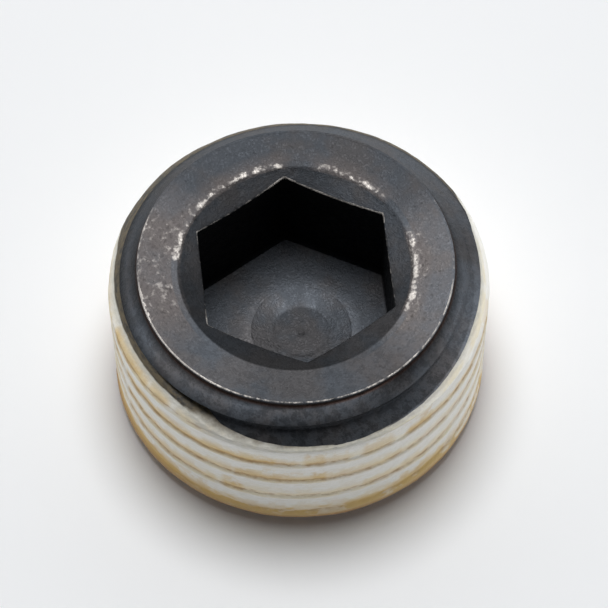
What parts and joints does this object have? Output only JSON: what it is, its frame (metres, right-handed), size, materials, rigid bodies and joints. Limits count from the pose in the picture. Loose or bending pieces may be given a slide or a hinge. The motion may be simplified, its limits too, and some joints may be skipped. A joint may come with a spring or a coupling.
{
  "type": "oil plug",
  "caption": "Taper-threaded steel plug for an oil port: hexagon socket in a dished end, chamfered ends, right-hand thread with dried white sealant.",
  "frame": {"origin": "centre of the small end face, which the plug stands on", "axes": "+Z along the plug's axis, from the small end to the socket; -Y is the side that faces the viewer in the picture"},
  "size_m": [0.0206, 0.0207, 0.0107],
  "materials": {
    "blackened_steel": "black oxide, dark blue-grey, worn bright along its edges",
    "dried_sealant": "matt off-white coat, stained ochre along the thread crests"
  },
  "bodies": {
    "root": {"plug_body": "blackened_steel", "thread_sealant": "dried_sealant"}
  },
  "joints": []
}
